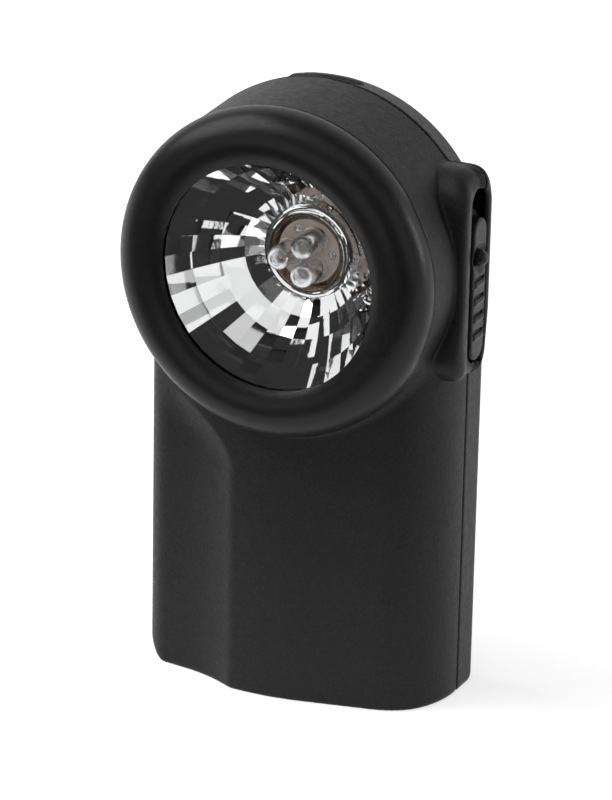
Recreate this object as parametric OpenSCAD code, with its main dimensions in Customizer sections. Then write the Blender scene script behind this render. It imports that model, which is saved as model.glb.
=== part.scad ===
// Flat pocket LED flashlight for a standard 4.5 V flat battery.
// Millimetres. +Z is up, the lens faces -Y and the switch is on the +X side.
// The base is centred on the origin.

/* [Battery] */
// Battery width
battery_w = 62; // [58:0.5:68]
// Battery thickness
battery_t = 22; // [20:0.5:22]
// Battery height without its tabs
battery_h = 63; // [58:0.5:63]
// Free room beside the battery
battery_room = 2; // [1.75:0.25:3]

/* [Case] */
// Height of the lens axis above the base
head_z = 98; // [97:0.5:104]
// Place of the parting plane between front shell and rear cover
seam_y = 4.5; // [4.2:0.1:4.8]
// Place of the flat back
back_y = 16; // [15.5:0.5:20]
// Shell thickness
wall = 2; // [1.7:0.1:2.2]
// Rounding of the two bottom corners, seen from the front
corner_r = 3; // [2.5:0.5:8]
// Rounding of the back edge
back_fillet = 5; // [3:0.5:6.5]

/* [Head] */
// Length of the round drum ahead of the parting plane
drum_depth = 20.5; // [20:0.5:24]
// How far the drum stands out past the case's sides at the parting plane, where it is widest
drum_over = 1.8; // [1.3:0.1:2.2]
// How much narrower the drum is at its two ends
drum_draft = 1.2; // [0.5:0.1:1.2]
// Width of the bezel's face, from the case's side to the lens opening
bezel_face = 10.2; // [9.6:0.2:12]
// Radius of the bezel's round section
bezel_tube = 7; // [6.5:0.25:8]
// How far the bezel stands out past the case's sides
bezel_over = 1; // [0.5:0.25:2]
// Lens thickness
lens_t = 1.8; // [1.2:0.1:2]
// Depth of the reflector's bowl down to its vertex
bowl_depth = 20.1; // [19.5:0.1:21]

/* [Light] */
// Diameter of each LED
led_d = 5; // [4.8:0.1:5.2]
// Radius of the circle that the LEDs stand on
led_ring_r = 3.7; // [3.6:0.1:4]

/* [Switch] */
// Width of the slot
slot_w = 7.2; // [6.8:0.1:7.6]
// Length of the sliding knob
slider_len = 31.7; // [29:0.5:33]
// Travel of the sliding knob
slide_travel = 6; // [4:0.5:6.5]
// Diameter of the flash button
button_d = 3.6; // [3:0.1:3.8]
// Grip ribs on the knob
rib_count = 4; // [2:1:5]

/* [Fits] */
// Gap between pieces that part or move
gap = 0.25; // [0.2:0.05:0.35]
// Radial clearance of a running fit
run_fit = 0.05; // [0.03:0.01:0.1]

/* [Hidden] */
$fn = 72;
eps = 0.01;
far = 200;

// Case
body_w = battery_w + 2 * (battery_room + wall);
body_r = body_w / 2;
drum_in_r = body_r - wall;
drum_r = body_r + drum_over;
drum_end_r = drum_r - drum_draft;
drum_front = seam_y - drum_depth;
cover_front = seam_y + gap;
crest_y = drum_front - 1;
crest_x = -5;
panel_r = 55;
panel_turn = 16;
panel_edge_r = 12;
crease_x = crest_x - 5.2;
crease_y = crest_y + panel_r * (1 - cos(asin(5.2 / panel_r)));
scoop_r = body_r + 1;
scoop_start = 31;
scoop_end = 7.5;
scoop_edge_r = 9;
flare_r = 22;

// Bezel and its bayonet
bezel_r = body_r + bezel_over;
opening_r = body_r - bezel_face;
bezel_mid_r = bezel_r - bezel_tube;
bezel_mid_y = drum_front - 1.5;
bezel_back = drum_front - gap;
neck_r = drum_in_r - 2.6;
neck_in_r = neck_r - 2.2;
web_front = drum_front + 5;
web_back = web_front + 1.6;
skirt_r = drum_in_r - gap;
skirt_back = web_front - gap;
lug_r = neck_r + 1;
lug_front = drum_front + 0.6;
lug_back = lug_front + 1.6;
lug_turn = 18;
entry_turn = 24;
lock_turn = 30;
lug_angles = [90, 210, 330];

// Lens, reflector and light unit
lens_front = bezel_mid_y - 3;
lens_back = lens_front + lens_t;
flange_r = neck_r - 0.4;
flange_back = lens_back + 1.5;
bowl_rim_r = opening_r + 0.4;
bowl_vertex = lens_back + bowl_depth;
focal = bowl_rim_r * bowl_rim_r / (4 * bowl_depth);
bowl_t = 1.3;
collar_r = 10.1;
// Rounded to a hundredth, so that the flat faces placed from it line up
collar_y = round(100 * (bowl_vertex - collar_r * collar_r / (4 * focal))) / 100;
throat_r = 8.6;
throat_y = collar_y + 0.55;
step_back = throat_y + 1.05;
throat_back = throat_y + 2.4;
board_r = throat_r - 0.3;
board_front = throat_y + 0.5;
board_t = 1.6;
board_back = board_front + board_t;
led_base = board_front - 1;
led_length = 8.6;
led_tip = led_base - led_length;
led_angles = [180, 60, -60];
lead_r = 0.25;
lead_pitch = 2.54;
carrier_front = board_back + 0.8;
carrier_back = carrier_front + 2;
cup_r = throat_r + bowl_t + 0.1;
cup_out_r = cup_r + 1.6;
arm_r = drum_in_r - 4.6;
arm_w = 8;
arm_angles = [60, 180];
post_r = 2.8;
screw_r = 1.1;

// Switch on the right side
boss_x = body_r + 3;
slot_drop = 19.8;
button_drop = 8.8;
boss_bottom = slot_z0() - 3.2;
boss_top = slot_z1() + 4.2;
slot_y = seam_y - 1.2;
slot_front = slot_y - slot_w / 2;
slot_back = slot_y + slot_w / 2;
boss_front = slot_front - 5.6;
boss_back = slot_back + 2.8;
boss_front_r = 3.5;
boss_back_r = 4;
boss_wall = 1.8;
slide_w = slot_w - 2.4 * gap;
slide_z0 = slot_z0() + gap;
slide_z1 = slide_z0 + slider_len;
slide_face = boss_x - 0.5;
keep_front = slot_front - 1.6;
keep_back = slot_back + 0.7;
keep_y = (keep_front + keep_back) / 2;
keep_w = keep_back - keep_front;
keep_over = 1.6;
keep_x1 = boss_x - boss_wall - gap;
keep_x0 = keep_x1 - 1.8;
button_z = slide_z1 - button_drop;
button_y = slot_y;
button_r = button_d / 2;
button_tip = slide_face + 1.7;
button_collar_r = button_r + 0.7;
rib_pitch = 3.9;
rib_len = 4.6;
rib_r = 0.8;

// Cover hinge
hinge_r = 1.9;
hinge_y = cover_front + hinge_r;
hinge_z = hinge_r;
hinge_pin_r = 1;
ear_r = hinge_r - 0.2;
ear_w = 3;
ear_x = 22;
pry_w = 14;
pry_lip = 1;

// Battery and contacts
battery_y = back_y - wall - 0.4 - battery_t / 2;
battery_z = 2 * hinge_r + 0.4;
cap_t = 1;
battery_top = battery_z + battery_h + cap_t;
strip_t = 0.4;
strip_back = carrier_back + strip_t;
rivet_r = 1;
rivet_len = 1.6;
tab_w = 6;
short_tab_h = 11;
long_tab_h = 17;
tab_lap = 6;
strip_foot = battery_top + short_tab_h - tab_lap;
tab_x = battery_w / 2 - 12;
tab_y = strip_back + 0.05;
minus_x = tab_w / 2 - tab_x;
plus_post = [tab_x + tab_w / 2 + 2 * rivet_r, -18];
leaf_w = 4;
plus_z0 = head_z + plus_post[1] - leaf_w / 4;
plus_z1 = plus_z0 + leaf_w;
plus_tip = head_z - 6;
blade_w = 6;
blade_tip = head_z + 14;
bridge_z = [2, 17.5];
dimple_z = [4, 15];
dimple_r = 1;
switch_x = keep_x0 - 3.4;
rivet_spots = [[minus_x, 0], [cup_out_r - 2.5, 0], plus_post];

// The slot starts a fixed drop below the lens axis and is as long as the knob with its travel.
function slot_z0() = head_z - slot_drop;
function slot_z1() = slot_z0() + slider_len + slide_travel + 2 * gap;

// Points along an arc about c, from angle a0 to a1.
function arc(c, r, a0, a1, n = 12) =
    [for (i = [0:n]) c + r * [cos(a0 + (a1 - a0) * i / n), sin(a0 + (a1 - a0) * i / n)]];

// A point of the reflector's parabola where its bright face has radius r, moved out by t.
function bowl_point(r, t) = [r + t, bowl_vertex - r * r / (4 * focal)];

function reversed(points) = [for (i = [len(points) - 1:-1:0]) points[i]];
function flipped(points) = [for (p = points) [-p[0], p[1]]];

module at_head() {
    translate([0, 0, head_z]) children();
}

module rod_x(r, x0, x1) {
    translate([x0, 0, 0]) rotate([0, 90, 0]) cylinder(r = r, h = x1 - x0);
}

module rod_y(r, y0, y1) {
    translate([0, y0, 0]) rotate([-90, 0, 0]) cylinder(r = r, h = y1 - y0);
}

module block(x0, x1, y0, y1, z0, z1) {
    translate([x0, y0, z0]) cube([x1 - x0, y1 - y0, z1 - z0]);
}

// Extrudes a front view (x, z) along y.
module along_y(y0, y1) {
    translate([0, y1, 0]) rotate([90, 0, 0]) linear_extrude(y1 - y0) children();
}

// Turns a half section (radius, y) about the y axis.
module turned(points) {
    rotate([-90, 0, 0]) rotate_extrude($fn = 120) polygon(points);
}

// Part of a ring about the y axis, from angle a0 to a1 as seen from the front.
module sector(r0, r1, y0, y1, a0, a1) {
    rotate([-90, 0, 0]) rotate([0, 0, -a1]) rotate_extrude(angle = a1 - a0, $fn = 120)
        translate([r0, y0]) square([r1 - r0, y1 - y0]);
}

// Upright pill seen from the side, w wide about y = 0.
module pill(x0, x1, w, z0, z1) {
    block(x0, x1, -w / 2, w / 2, z0 + w / 2, z1 - w / 2);
    for (z = [z0 + w / 2, z1 - w / 2]) translate([0, 0, z]) rod_x(w / 2, x0, x1);
}

// Tombstone front view of the case, t inside the outer face.
module outline(t, y0, y1) {
    round_in = max(corner_r, t);
    at_head() rod_y(body_r - t, y0, y1);
    block(t - body_r, body_r - t, y0, y1, round_in, head_z);
    block(round_in - body_r, body_r - round_in, y0, y1, t, head_z);
    for (side = [-1, 1]) if (corner_r > t)
        translate([side * (body_r - corner_r), 0, corner_r]) rod_y(corner_r - t, y0, y1);
}

// Everything behind the front panel's skin, t inside it.
module panel_side(t) {
    panel_c = [crest_x, crest_y + panel_r];
    bend = panel_c + panel_r * [sin(panel_turn), -cos(panel_turn)];
    edge_x = body_r - panel_edge_r;
    edge_y = bend[1] + tan(panel_turn) * (edge_x + panel_edge_r * sin(panel_turn) - bend[0])
        + panel_edge_r * cos(panel_turn);
    start = -asin(17 / panel_r);
    skin = concat(
        arc(panel_c, panel_r - t, 270 + start, 270 + panel_turn, 16),
        arc([edge_x, edge_y], panel_edge_r - t, 270 + panel_turn, 360)
    );
    linear_extrude(head_z + body_r) polygon(concat(
        [[t - body_r, far], [t - body_r, skin[0][1]]], skin, [[body_r - t, far]]));
}

// Everything behind the scoop's skin, t inside it. It runs on past the crease, where the panel takes over.
module scoop_side(t) {
    hollow_c = [crease_x - scoop_r * sin(scoop_start), crease_y - scoop_r * cos(scoop_start)];
    foot = hollow_c + scoop_r * [sin(scoop_end), cos(scoop_end)];
    edge_x = scoop_edge_r - body_r;
    edge_y = foot[1] + tan(scoop_end) * (foot[0] - edge_x + scoop_edge_r * sin(scoop_end))
        + scoop_edge_r * cos(scoop_end);
    skin = concat(
        arc([edge_x, edge_y], scoop_edge_r - t, 180, 270 - scoop_end),
        arc(hollow_c, scoop_r + t, 90 - scoop_end, 90 - scoop_start, 16)
    );
    last = skin[len(skin) - 1];
    linear_extrude(head_z + body_r) polygon(concat(
        [[t - body_r, far]], skin, [last + 40 * [cos(scoop_start), -sin(scoop_start)], [far, far]]));
}

// Web that carries the panel's crease round in an arc until it runs along the bezel.
module crease_flare() {
    reach = flare_r - crease_x;
    drop = sqrt(pow(bezel_r + flare_r, 2) - reach * reach);
    turn = atan2(drop, reach);
    along_y(crest_y - 2, seam_y) polygon(concat(
        [[0, head_z - drop], [crease_x, head_z - drop]],
        arc([-reach, head_z - drop], flare_r, 0, turn, 10),
        [[0, head_z]]
    ));
}

// Plan of the switch boss, cut to a pill in side view.
module boss() {
    intersection() {
        linear_extrude(head_z + body_r) polygon(concat(
            [[body_r - 12, boss_front]],
            arc([boss_x - boss_front_r, boss_front + boss_front_r], boss_front_r, 270, 360, 8),
            arc([boss_x - boss_back_r, boss_back - boss_back_r], boss_back_r, 0, 90, 8),
            [[body_r - 12, boss_back]]
        ));
        translate([0, (boss_front + boss_back) / 2, 0])
            pill(0, far, boss_back - boss_front, boss_bottom, boss_top);
    }
}

// Room in the boss for the knob's keeper over its whole travel, and the slot for the knob itself.
module switch_room() {
    translate([0, keep_y, 0])
        pill(body_r - 12, keep_x1 + gap, keep_w + 2 * gap, slide_z0 - keep_over - gap,
            slide_z1 + slide_travel + keep_over + gap);
    translate([0, slot_y, 0]) pill(keep_x1, far, slot_w, slot_z0(), slot_z1());
}

// Round room in the head for the bezel's neck, skirt and the reflector.
module head_room() {
    at_head() {
        rod_y(neck_in_r, -far, web_back + eps);
        difference() {
            rod_y(drum_in_r, drum_front - far, web_front);
            rod_y(neck_r, flange_back, web_front);
        }
        rod_y(bezel_r + gap, -far, drum_front);
    }
}

// Inside of the front shell behind the head's web.
module front_room() {
    difference() {
        intersection() {
            outline(wall, -far, far);
            panel_side(wall);
            scoop_side(wall);
        }
        at_head() rod_y(body_r, -far, web_back);
    }
}

// Places where the seam lip is left out: the hinge, the catch and the switch.
module lip_breaks() {
    block(-far, far, -far, far, -eps, corner_r + 4);
    block(-6, 6, -far, far, head_z, far);
    block(0, far, -far, far, boss_bottom - 2, boss_top + 2);
}

// Lip that centres the cover on the front shell, with a root that joins it to the wall.
module seam_lip() {
    difference() {
        union() {
            outline(wall - 0.5, seam_y - 2, seam_y);
            outline(wall + gap, seam_y - 1, seam_y + 1.5);
        }
        outline(wall + 1.2, seam_y - 3, seam_y + 3);
        lip_breaks();
    }
}

// Ears with the bores that the cover's hinge pins turn in.
module hinge_ears() {
    for (side = [-1, 1]) difference() {
        translate([side * ear_x, 0, 0]) {
            translate([0, hinge_y, hinge_z]) rod_x(ear_r, -ear_w / 2, ear_w / 2);
            block(-ear_w / 2, ear_w / 2, seam_y - 4, hinge_y, hinge_z - ear_r, hinge_z + ear_r);
        }
        translate([0, hinge_y, hinge_z]) rod_x(hinge_pin_r + run_fit, -far, far);
    }
}

// Posts that carry the light unit's bridge and the plus contact.
module posts() {
    at_head() {
        for (a = arm_angles) translate([arm_r * cos(a), 0, arm_r * sin(a)]) difference() {
            rod_y(post_r, web_back - 1, carrier_front);
            rod_y(screw_r + run_fit, web_back + 2, far);
        }
        translate([plus_post[0], 0, plus_post[1]]) difference() {
            rod_y(2, web_back - 1, carrier_back);
            rod_y(rivet_r + run_fit, carrier_back - rivet_len, far);
        }
    }
}

module front_shell() {
    color([0.12, 0.12, 0.13]) {
        difference() {
            union() {
                at_head() turned([[0, drum_front], [drum_end_r, drum_front], [drum_r, seam_y], [0, seam_y]]);
                at_head() rod_y(neck_r, flange_back, seam_y - eps);
                intersection() {
                    outline(0, -far, seam_y);
                    panel_side(0);
                    union() {
                        scoop_side(0);
                        crease_flare();
                    }
                    block(-far, far, -far, far, 0, head_z);
                }
                intersection() {
                    boss();
                    block(-far, far, -far, seam_y, 0, far);
                }
            }
            head_room();
            front_room();
            switch_room();
        }
        at_head() for (a = lug_angles)
            sector(neck_r - 0.5, lug_r, lug_front, lug_back, a - lug_turn / 2, a + lug_turn / 2);
        seam_lip();
        hinge_ears();
        posts();
        // Rail behind the keeper
        block(keep_x0 - gap - 1.8, keep_x0 - gap, boss_front + 0.6, slot_front + 0.6,
            boss_bottom + 7, boss_top - 7);
    }
}

// Half section of the cover's skin, t inside it: radius r0 at y0, and r1 where the back's rounding starts.
function cover_skin(r0, r1, t, y0) = concat([[r0 - t, y0]],
    arc([r1 - back_fillet, back_y - back_fillet], back_fillet - t, 0, 90, 8));
function cover_section(r0, r1, t, y0) = concat([[0, y0]], cover_skin(r0, r1, t, y0), [[0, back_y - t]]);

// The cover's form t inside its skin, from y0 to the back: the head, and the body with its rounded edges.
module cover_form(t, y0, head_r0, head_r1) {
    side_skin = cover_skin(body_r, body_r, t, y0);
    at_head() turned(cover_section(head_r0, head_r1, t, y0));
    intersection() {
        outline(t, y0, back_y - t);
        linear_extrude(head_z) polygon(concat(side_skin, reversed(flipped(side_skin))));
        translate([-body_r, 0, head_z]) rotate([0, 90, 0]) linear_extrude(body_w)
            polygon(cover_section(head_z, head_z, t, y0));
    }
}

module cover_body() {
    difference() {
        cover_form(0, cover_front, drum_r, drum_end_r);
        cover_form(wall, cover_front - 1, body_r, body_r);
    }
}

// Outer part of the switch boss that belongs to the cover.
module cover_boss() {
    difference() {
        intersection() {
            boss();
            block(-far, far, cover_front, far, 0, far);
        }
        outline(wall, -far, back_y - wall);
    }
}

// Fingernail notch in the cover's front edge, at the top.
module pry_notch() {
    translate([0, 0, head_z + drum_in_r - 1.2]) linear_extrude(far) polygon([
        [-pry_w / 2 - 1, cover_front - 1], [pry_w / 2 + 1, cover_front - 1],
        [pry_w / 2 - 1, cover_front + 1], [1 - pry_w / 2, cover_front + 1]]);
}

// Tab that reaches under the top of the front shell.
module catch_tab() {
    top = head_z + drum_in_r;
    block(-4, 4, seam_y - 3, cover_front + 3, top - 2.6, top - 1.5);
    block(-4, 4, cover_front + 1.5, cover_front + 3, top - 2.6, top + 0.5);
}

// Room round each ear of the front shell.
module ear_room() {
    for (side = [-1, 1]) translate([side * ear_x, 0, 0])
        block(-ear_w / 2 - gap, ear_w / 2 + gap, -far, hinge_y + ear_r + gap, -1, 2 * hinge_r + 1);
}

module rear_cover() {
    color([0.12, 0.12, 0.13]) {
        difference() {
            union() {
                cover_body();
                cover_boss();
                translate([0, hinge_y, hinge_z]) rod_x(hinge_r, corner_r - body_r, body_r - corner_r);
                at_head() sector(drum_in_r, drum_end_r + pry_lip, cover_front + 0.5, cover_front + 4, 78, 102);
                catch_tab();
            }
            difference() {
                block(-far, far, -far, hinge_y, -1, hinge_z);
                translate([0, hinge_y, hinge_z]) rod_x(hinge_r, -far, far);
            }
            ear_room();
            switch_room();
            pry_notch();
        }
        for (side = [-1, 1])
            translate([side * ear_x, hinge_y, hinge_z]) rod_x(hinge_pin_r, -ear_w / 2 - 1, ear_w / 2 + 1);
    }
}

module bezel_ring() {
    back_turn = asin((bezel_back - bezel_mid_y) / bezel_tube);
    lip_turn = -acos((opening_r - bezel_mid_r) / bezel_tube);
    bore_r = neck_r + run_fit;
    color([0.07, 0.07, 0.08]) at_head() difference() {
        turned(concat(
            arc([bezel_mid_r, bezel_mid_y], bezel_tube, back_turn, lip_turn, 24),
            [[opening_r + 0.2, lens_front - gap], [bore_r, lens_front - gap], [bore_r, skirt_back],
                [skirt_r, skirt_back], [skirt_r, bezel_back]]
        ));
        difference() {
            rod_y(lug_r + gap, lug_front - gap, lug_back + gap);
            rod_y(bore_r - 1, -far, far);
        }
        for (a = lug_angles)
            sector(bore_r - 1, lug_r + gap, lug_back, skirt_back + 1,
                a - lock_turn - entry_turn / 2, a - lock_turn + entry_turn / 2);
    }
}

module lens() {
    color([0.85, 0.9, 0.92, 0.35]) at_head() rod_y(flange_r, lens_front, lens_back);
}

module reflector() {
    rings = 8;
    flange_bowl_r = sqrt(4 * focal * (bowl_vertex - flange_back));
    bright = [for (i = [0:rings]) bowl_point(bowl_rim_r + (collar_r - bowl_rim_r) * i / rings, 0)];
    outside = [for (i = [0:rings]) bowl_point(collar_r + (flange_bowl_r - collar_r) * i / rings, bowl_t)];
    color([0.85, 0.86, 0.88]) at_head() turned(concat(
        bright,
        [[throat_r, throat_y], [throat_r, throat_back], [throat_r + bowl_t, throat_back],
            [throat_r + bowl_t, step_back], [collar_r + bowl_t, step_back]],
        outside,
        [[flange_r, flange_back], [flange_r, lens_back]]
    ));
}

// Bridge with two arms. Its cup centres on the reflector's neck and its inner rim carries the board.
module led_carrier() {
    color([0.2, 0.2, 0.21]) at_head() difference() {
        union() {
            rod_y(cup_out_r, step_back + gap, carrier_back);
            for (a = arm_angles) rotate([0, -a, 0])
                block(0, arm_r + post_r, carrier_front, carrier_back, -arm_w / 2, arm_w / 2);
        }
        difference() {
            rod_y(cup_r, -far, carrier_front);
            rod_y(board_r, board_back, carrier_front);
        }
        rod_y(board_r - 2, -far, far);
        for (a = arm_angles)
            translate([arm_r * cos(a), 0, arm_r * sin(a)]) rod_y(screw_r + run_fit, -far, far);
        for (p = rivet_spots)
            translate([p[0], 0, p[1]]) rod_y(rivet_r + run_fit, carrier_back - rivet_len, far);
    }
}

module carrier_screws() {
    color([0.7, 0.7, 0.72]) at_head()
        for (a = arm_angles) translate([arm_r * cos(a), 0, arm_r * sin(a)]) difference() {
            union() {
                rod_y(screw_r, web_back + 4, carrier_back);
                rod_y(2.3, carrier_back, carrier_back + 1.3);
            }
            for (turn = [0, 90]) rotate([0, turn, 0])
                block(-1.4, 1.4, carrier_back + 0.6, far, -0.3, 0.3);
        }
}

// Places children at each lead of the LED on angle a, seen from the front.
module at_leads(a) {
    rotate([0, -a, 0]) translate([led_ring_r, 0, 0])
        for (side = [-1, 1]) translate([0, 0, side * lead_pitch / 2]) children();
}

module led_board() {
    color([0.75, 0.66, 0.55]) at_head() difference() {
        rod_y(board_r, board_front, board_back);
        for (a = led_angles) at_leads(a) rod_y(lead_r + run_fit, -far, far);
    }
}

module led(a) {
    led_r = led_d / 2;
    color([0.85, 0.87, 0.88, 0.5]) at_head() rotate([0, -a, 0]) translate([led_ring_r, 0, 0]) {
        rod_y(led_r + 0.4, led_base - 1, led_base);
        rod_y(led_r, led_tip + led_r, led_base);
        translate([0, led_tip + led_r, 0]) sphere(led_r);
    }
}

module led_left() {
    led(led_angles[0]);
}

module led_upper() {
    led(led_angles[1]);
}

module led_lower() {
    led(led_angles[2]);
}

module led_leads() {
    color([0.75, 0.75, 0.76]) at_head()
        for (a = led_angles) at_leads(a) rod_y(lead_r, led_base, board_back + 0.7);
}

module led_resistors() {
    color([0.1, 0.1, 0.1]) at_head() for (a = led_angles) rotate([0, 60 - a, 0])
        translate([4.8, 0, 0]) block(-0.7, 0.7, board_back, board_back + 0.55, -1.4, 1.4);
}

// Sheet from the short battery tab to the fixed side of the switch.
module contact_plus() {
    color([0.8, 0.65, 0.3]) difference() {
        union() {
            block(tab_x - tab_w / 2, plus_post[0] + 3, carrier_back, strip_back,
                strip_foot, plus_z1);
            block(plus_post[0], switch_x + strip_t, carrier_back, strip_back, plus_z0, plus_z1);
            block(switch_x, switch_x + strip_t, slot_front + 1.2, strip_back, plus_z0, plus_tip);
        }
        at_head() translate([plus_post[0], 0, plus_post[1]]) rod_y(rivet_r + run_fit, -far, far);
    }
}

// Sheet from the long battery tab to the board.
module contact_minus() {
    color([0.8, 0.65, 0.3]) difference() {
        union() {
            block(minus_x - blade_w / 2, minus_x + blade_w / 2, carrier_back, strip_back,
                strip_foot, head_z + blade_w / 2);
            block(minus_x, -board_r + 1, carrier_back, strip_back,
                head_z - blade_w / 2, head_z + blade_w / 2);
        }
        at_head() translate([minus_x, 0, 0]) rod_y(rivet_r + run_fit, -far, far);
    }
}

// Sprung leaf from the board to the place behind the flash button.
module switch_blade() {
    color([0.8, 0.65, 0.3]) difference() {
        union() {
            block(board_r - 1, switch_x + strip_t, carrier_back, strip_back,
                head_z - blade_w / 2, head_z + blade_w / 2);
            block(switch_x, switch_x + strip_t, slot_front + 1.2, strip_back,
                head_z - blade_w / 2, blade_tip);
        }
        at_head() translate([rivet_spots[1][0], 0, 0]) rod_y(rivet_r + run_fit, -far, far);
    }
}

module strip_rivets() {
    color([0.75, 0.6, 0.25]) at_head() for (p = rivet_spots) translate([p[0], 0, p[1]]) {
        rod_y(rivet_r, carrier_back - rivet_len, strip_back);
        rod_y(rivet_r + 0.9, strip_back, strip_back + 0.6);
    }
}

module switch_slider() {
    color([0.1, 0.1, 0.11]) {
        difference() {
            union() {
                translate([0, keep_y, 0])
                    pill(keep_x0, keep_x1, keep_w, slide_z0 - keep_over, slide_z1 + keep_over);
                translate([0, slot_y, 0]) pill(keep_x0, slide_face, slide_w, slide_z0, slide_z1);
            }
            translate([0, button_y, button_z]) {
                rod_x(button_r + run_fit, 0, far);
                rod_x(button_collar_r + gap, 0, keep_x0 + 1.1);
                translate([slide_face + 5.2, 0, 0]) sphere(6);
            }
        }
        for (i = [0:rib_count - 1]) translate([slide_face - 0.2, slot_y, button_z - 5.8 - i * rib_pitch]) {
            rotate([90, 0, 0]) cylinder(r = rib_r, h = rib_len - 2 * rib_r, center = true);
            for (side = [-1, 1]) translate([0, side * (rib_len / 2 - rib_r), 0]) sphere(rib_r);
        }
    }
}

// Sheet bridge on the keeper's inner face, with two dimples that run on the fixed contacts.
module slider_contact() {
    color([0.8, 0.65, 0.3]) translate([0, slot_y, slide_z0]) {
        block(keep_x0 - strip_t, keep_x0, -leaf_w / 2, leaf_w / 2, bridge_z[0], bridge_z[1]);
        for (z = dimple_z) translate([0, 0, z]) {
            rod_x(dimple_r, switch_x + strip_t + dimple_r + gap, keep_x0 - strip_t);
            translate([switch_x + strip_t + dimple_r + gap, 0, 0]) sphere(dimple_r);
        }
    }
}

module flash_button() {
    color([0.1, 0.1, 0.11]) translate([0, button_y, button_z]) {
        rod_x(button_r, keep_x0 - 1.4, button_tip - button_r);
        translate([button_tip - button_r, 0, 0]) sphere(button_r);
        rod_x(button_collar_r, keep_x0 - 0.2, keep_x0 + 0.9);
    }
}

// Flat round-ended block of the battery, t inside its outer face.
module battery_block(t, z0, z1) {
    half = (battery_w - battery_t) / 2;
    translate([0, battery_y, z0]) {
        for (side = [-1, 1]) translate([side * half, 0, 0]) cylinder(r = battery_t / 2 - t, h = z1 - z0);
        translate([-half, t - battery_t / 2, 0]) cube([2 * half, battery_t - 2 * t, z1 - z0]);
    }
}

module battery_sleeve() {
    color([0.2, 0.3, 0.5]) battery_block(0, battery_z, battery_top - cap_t);
}

module battery_cap() {
    color([0.15, 0.15, 0.15]) battery_block(1.2, battery_top - cap_t, battery_top);
}

module battery_tab(x, h) {
    color([0.8, 0.65, 0.3])
        block(x - tab_w / 2, x + tab_w / 2, tab_y, tab_y + strip_t, battery_top, battery_top + h);
}

module battery_short_tab() {
    battery_tab(tab_x, short_tab_h);
}

module battery_long_tab() {
    battery_tab(-tab_x, long_tab_h);
}

front_shell();
rear_cover();
bezel_ring();
lens();
reflector();
led_carrier();
carrier_screws();
led_board();
led_left();
led_upper();
led_lower();
led_leads();
led_resistors();
contact_plus();
contact_minus();
switch_blade();
strip_rivets();
switch_slider();
slider_contact();
flash_button();
battery_sleeve();
battery_cap();
battery_short_tab();
battery_long_tab();
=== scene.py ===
"""Looks of a flat pocket LED flashlight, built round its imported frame.

Lengths in the script are millimetres, with the front towards -y and the switch towards +x.
"""
import itertools
import math

import bpy
import numpy as np
from mathutils import Matrix, Vector


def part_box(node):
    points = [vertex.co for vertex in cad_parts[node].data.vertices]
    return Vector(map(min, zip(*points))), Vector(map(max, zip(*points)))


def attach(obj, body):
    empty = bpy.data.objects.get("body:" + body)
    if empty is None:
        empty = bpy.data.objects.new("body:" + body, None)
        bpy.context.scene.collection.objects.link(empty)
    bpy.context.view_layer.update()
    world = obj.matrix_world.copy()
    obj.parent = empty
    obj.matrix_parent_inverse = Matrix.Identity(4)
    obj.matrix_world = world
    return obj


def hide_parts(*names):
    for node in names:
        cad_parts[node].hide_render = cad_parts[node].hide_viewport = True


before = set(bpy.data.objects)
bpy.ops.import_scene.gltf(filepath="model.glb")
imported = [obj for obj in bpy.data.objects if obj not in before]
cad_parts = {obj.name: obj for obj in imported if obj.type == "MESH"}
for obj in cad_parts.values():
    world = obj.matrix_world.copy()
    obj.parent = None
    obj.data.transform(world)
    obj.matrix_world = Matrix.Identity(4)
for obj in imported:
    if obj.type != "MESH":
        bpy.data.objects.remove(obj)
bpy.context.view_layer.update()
scene = bpy.context.scene
MM = 0.001


def box_mm(node):
    """Lowest and highest corners of a node."""
    low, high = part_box(node)
    return np.array(low) / MM, np.array(high) / MM


# Places and sizes taken from the frame
shell_low, shell_high = box_mm("front_shell")
cover_low, cover_high = box_mm("rear_cover")
bezel_low, bezel_high = box_mm("bezel_ring")
lens_low, lens_high = box_mm("lens")
board_low, board_high = box_mm("led_board")
slider_low, slider_high = box_mm("switch_slider")
button_low, button_high = box_mm("flash_button")
bowl_high = box_mm("reflector")[1]
carrier_high = box_mm("led_carrier")[1]
head_z = (lens_low[2] + lens_high[2]) / 2
drum_r = -cover_low[0]
back_y = cover_high[1]
crest_y = shell_low[1]
boss_x = shell_high[0]
bezel_r = bezel_high[0]
bezel_front = bezel_low[1]
bezel_back = bezel_high[1]
lens_front = lens_low[1]
lens_back = lens_high[1]
lens_r = lens_high[0]
bowl_r = bowl_high[0]
bowl_back = bowl_high[1]

# Case, close to the frame's solids
wall = 2.0
gap = 0.25
play = 0.05
sink = 0.5
body_r = drum_r - 1.8
seam_y = 4.5
cover_front = seam_y + gap
back_fillet = 5.0
drum_front = crest_y + 1.0
drum_in_r = body_r - wall
drum_draft = 1.2
crest_x = -5.0
panel_r = 55.0
panel_turn = math.radians(12.5)
crease_x = crest_x - 5.2
crease_y = crest_y + panel_r - math.sqrt(panel_r ** 2 - (crease_x - crest_x) ** 2)
scoop_r = body_r + 1.0
scoop_start = math.radians(31)
scoop_end = math.radians(7.5)
head_pull = 1.8
flare_r = 22.0

# Inside of the head
web_back = drum_front + 6.6
web_front = web_back - 1.6
neck_front = drum_front - 1.2
neck_r = drum_in_r - 2.6
neck_in_r = neck_r - 2.2
opening_r = body_r - 10.2
post_r = 2.8
post_reach = drum_in_r - 4.6
post_angles = (60, 180)
post_front = web_back - 1.0
post_back = carrier_high[1] - 2.0

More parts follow.
